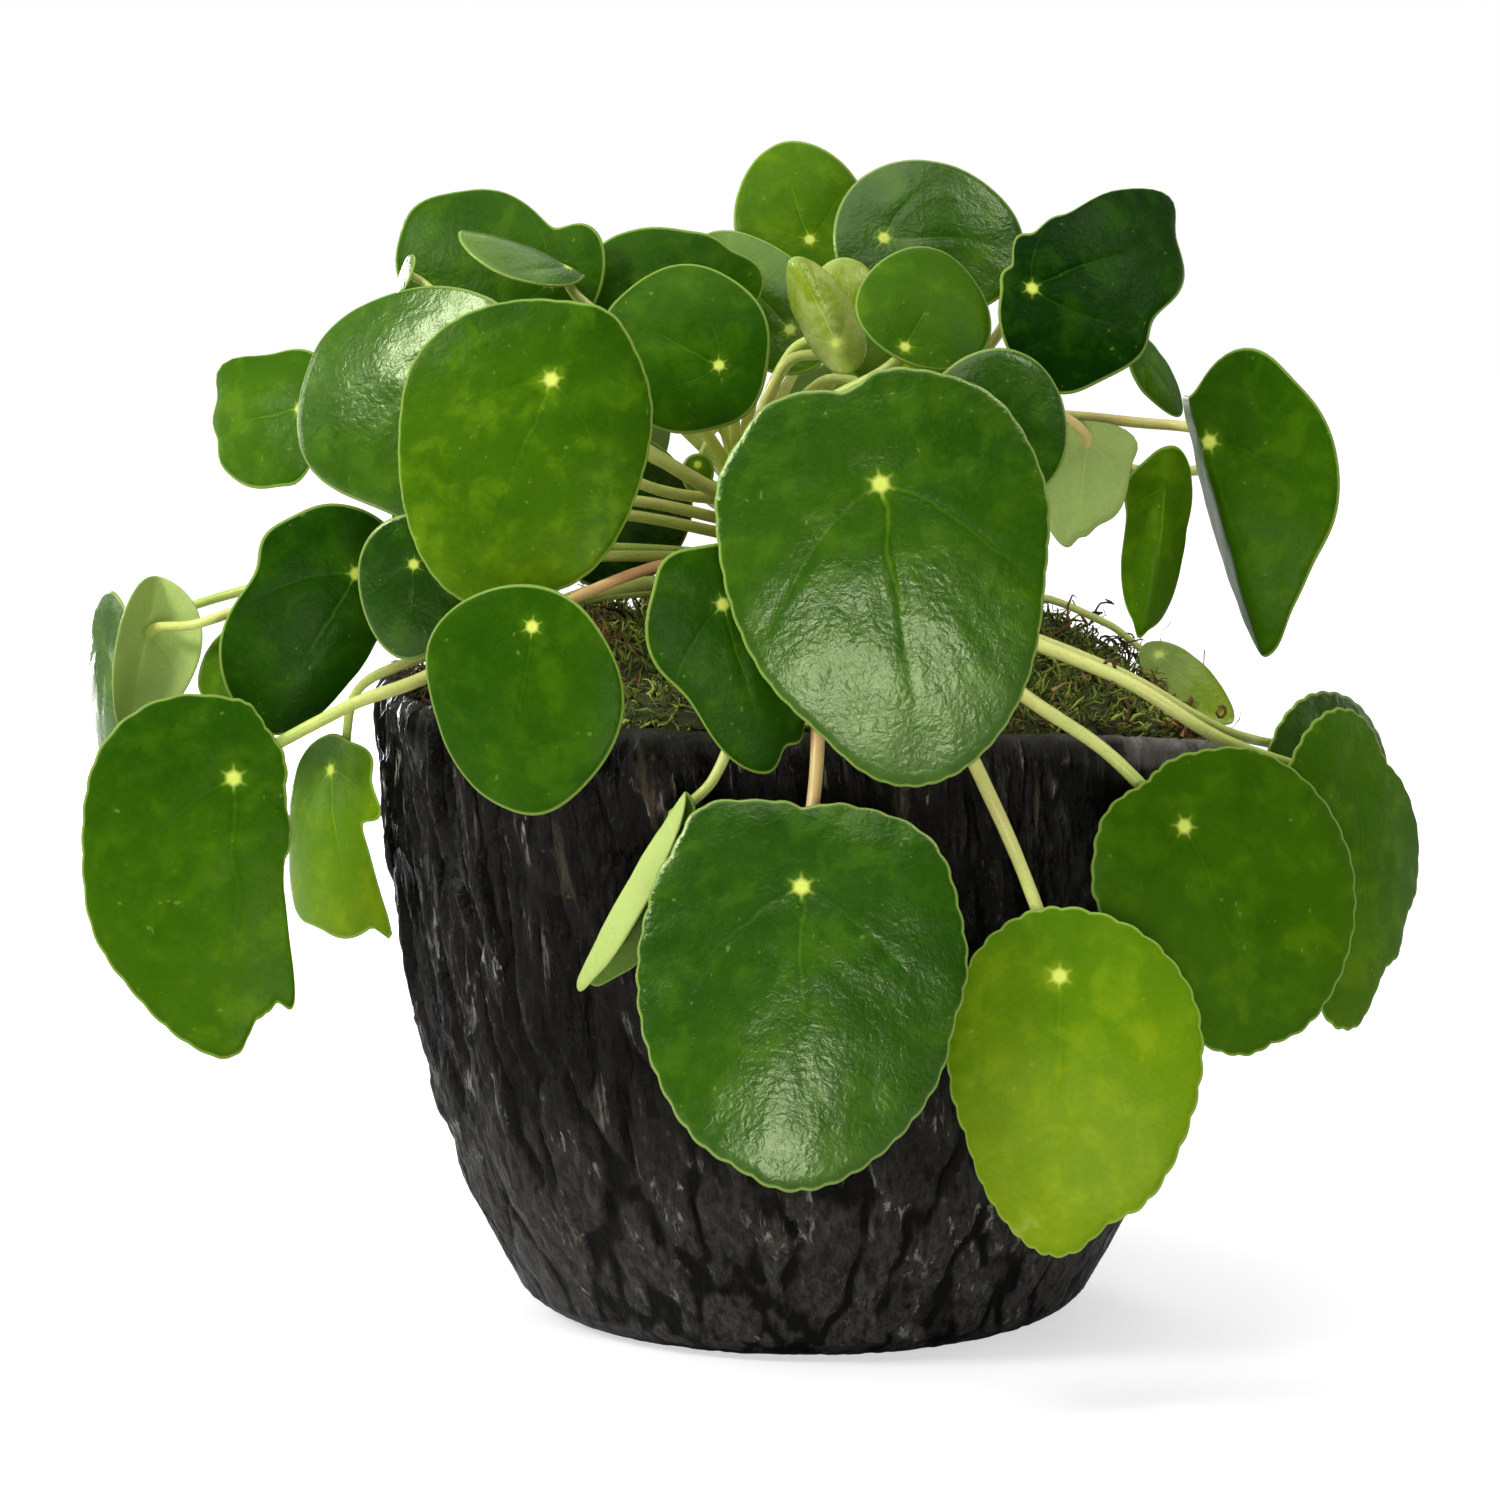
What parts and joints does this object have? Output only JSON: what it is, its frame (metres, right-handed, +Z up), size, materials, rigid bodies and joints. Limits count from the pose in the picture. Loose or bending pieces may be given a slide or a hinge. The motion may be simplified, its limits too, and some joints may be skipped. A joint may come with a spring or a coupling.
{
  "type": "potted pilea houseplant",
  "caption": "Bushy plant with round, flat leaves held at a pale dot on long thin stalks, over moss in a rounded bark-textured pot that stands on its flat foot.",
  "frame": {"origin": "centre of the pot's flat foot", "axes": "+Z up along the pot's axis; -Y is the front that the picture shows; +X is the viewer's right"},
  "size_m": [0.2992, 0.2555, 0.2618],
  "materials": {
    "pot": "near-black satin with a bark relief",
    "potting_soil": "dark, crumbly, damp",
    "moss": "yellow-green, soft and fibrous with brown root bits",
    "stem_and_petioles": "pale yellow-green, some pink or brown, smooth and semi-gloss",
    "leaf_01": "waxy semi-gloss green with a pale dot and a thin pale edge",
    "leaf_02": "waxy semi-gloss green with a pale dot and a thin pale edge",
    "leaf_03": "waxy semi-gloss green with a pale dot and a thin pale edge",
    "leaf_04": "waxy semi-gloss green with a pale dot and a thin pale edge",
    "leaf_05": "waxy semi-gloss green with a pale dot and a thin pale edge",
    "leaf_06": "waxy semi-gloss green with a pale dot and a thin pale edge",
    "leaf_07": "waxy semi-gloss green with a pale dot and a thin pale edge",
    "leaf_08": "waxy semi-gloss green with a pale dot and a thin pale edge",
    "leaf_09": "waxy semi-gloss green with a pale dot and a thin pale edge",
    "leaf_10": "waxy semi-gloss green with a pale dot and a thin pale edge",
    "leaf_11": "waxy semi-gloss green with a pale dot and a thin pale edge",
    "leaf_12": "waxy semi-gloss green with a pale dot and a thin pale edge",
    "leaf_13": "waxy semi-gloss green with a pale dot and a thin pale edge",
    "leaf_14": "waxy semi-gloss green with a pale dot and a thin pale edge",
    "leaf_15": "waxy semi-gloss green with a pale dot and a thin pale edge",
    "leaf_16": "waxy semi-gloss green with a pale dot and a thin pale edge",
    "leaf_17": "waxy semi-gloss green with a pale dot and a thin pale edge",
    "leaf_18": "waxy semi-gloss green with a pale dot and a thin pale edge",
    "leaf_19": "waxy semi-gloss green with a pale dot and a thin pale edge",
    "leaf_20": "waxy semi-gloss green with a pale dot and a thin pale edge",
    "leaf_21": "waxy semi-gloss green with a pale dot and a thin pale edge",
    "leaf_22": "waxy semi-gloss green with a pale dot and a thin pale edge",
    "leaf_23": "waxy semi-gloss green with a pale dot and a thin pale edge",
    "leaf_24": "waxy semi-gloss green with a pale dot and a thin pale edge",
    "leaf_25": "waxy semi-gloss green with a pale dot and a thin pale edge",
    "leaf_26": "waxy semi-gloss green with a pale dot and a thin pale edge",
    "leaf_27": "waxy semi-gloss green with a pale dot and a thin pale edge",
    "leaf_28": "waxy semi-gloss green with a pale dot and a thin pale edge",
    "leaf_29": "waxy semi-gloss green with a pale dot and a thin pale edge",
    "leaf_30": "waxy semi-gloss green with a pale dot and a thin pale edge",
    "leaf_31": "waxy semi-gloss green with a pale dot and a thin pale edge",
    "leaf_32": "waxy semi-gloss green with a pale dot and a thin pale edge",
    "leaf_33": "waxy semi-gloss green with a pale dot and a thin pale edge",
    "leaf_34": "waxy semi-gloss green with a pale dot and a thin pale edge",
    "leaf_35": "waxy semi-gloss green with a pale dot and a thin pale edge",
    "leaf_36": "waxy semi-gloss green with a pale dot and a thin pale edge",
    "leaf_37": "waxy semi-gloss green with a pale dot and a thin pale edge",
    "leaf_38": "waxy semi-gloss green with a pale dot and a thin pale edge",
    "leaf_39": "waxy semi-gloss green with a pale dot and a thin pale edge",
    "leaf_40": "waxy semi-gloss green with a pale dot and a thin pale edge",
    "leaf_41": "waxy semi-gloss green with a pale dot and a thin pale edge",
    "leaf_42": "waxy semi-gloss green with a pale dot and a thin pale edge",
    "leaf_43": "waxy semi-gloss green with a pale dot and a thin pale edge",
    "leaf_44": "waxy semi-gloss green with a pale dot and a thin pale edge",
    "leaf_45": "waxy semi-gloss green with a pale dot and a thin pale edge",
    "leaf_46": "waxy semi-gloss green with a pale dot and a thin pale edge",
    "leaf_47": "waxy semi-gloss green with a pale dot and a thin pale edge",
    "leaf_48": "waxy semi-gloss green with a pale dot and a thin pale edge",
    "leaf_49": "waxy semi-gloss green with a pale dot and a thin pale edge",
    "leaf_50": "waxy semi-gloss green with a pale dot and a thin pale edge",
    "leaf_51": "waxy semi-gloss green with a pale dot and a thin pale edge"
  },
  "bodies": {
    "root": {"pot": "pot", "potting_soil": "potting_soil", "moss": "moss", "stem_and_petioles": "stem_and_petioles", "leaf_01": "leaf_01", "leaf_02": "leaf_02", "leaf_03": "leaf_03", "leaf_04": "leaf_04", "leaf_05": "leaf_05", "leaf_06": "leaf_06", "leaf_07": "leaf_07", "leaf_08": "leaf_08", "leaf_09": "leaf_09", "leaf_10": "leaf_10", "leaf_11": "leaf_11", "leaf_12": "leaf_12", "leaf_13": "leaf_13", "leaf_14": "leaf_14", "leaf_15": "leaf_15", "leaf_16": "leaf_16", "leaf_17": "leaf_17", "leaf_18": "leaf_18", "leaf_19": "leaf_19", "leaf_20": "leaf_20", "leaf_21": "leaf_21", "leaf_22": "leaf_22", "leaf_23": "leaf_23", "leaf_24": "leaf_24", "leaf_25": "leaf_25", "leaf_26": "leaf_26", "leaf_27": "leaf_27", "leaf_28": "leaf_28", "leaf_29": "leaf_29", "leaf_30": "leaf_30", "leaf_31": "leaf_31", "leaf_32": "leaf_32", "leaf_33": "leaf_33", "leaf_34": "leaf_34", "leaf_35": "leaf_35", "leaf_36": "leaf_36", "leaf_37": "leaf_37", "leaf_38": "leaf_38", "leaf_39": "leaf_39", "leaf_40": "leaf_40", "leaf_41": "leaf_41", "leaf_42": "leaf_42", "leaf_43": "leaf_43", "leaf_44": "leaf_44", "leaf_45": "leaf_45", "leaf_46": "leaf_46", "leaf_47": "leaf_47", "leaf_48": "leaf_48", "leaf_49": "leaf_49", "leaf_50": "leaf_50", "leaf_51": "leaf_51"}
  },
  "joints": []
}
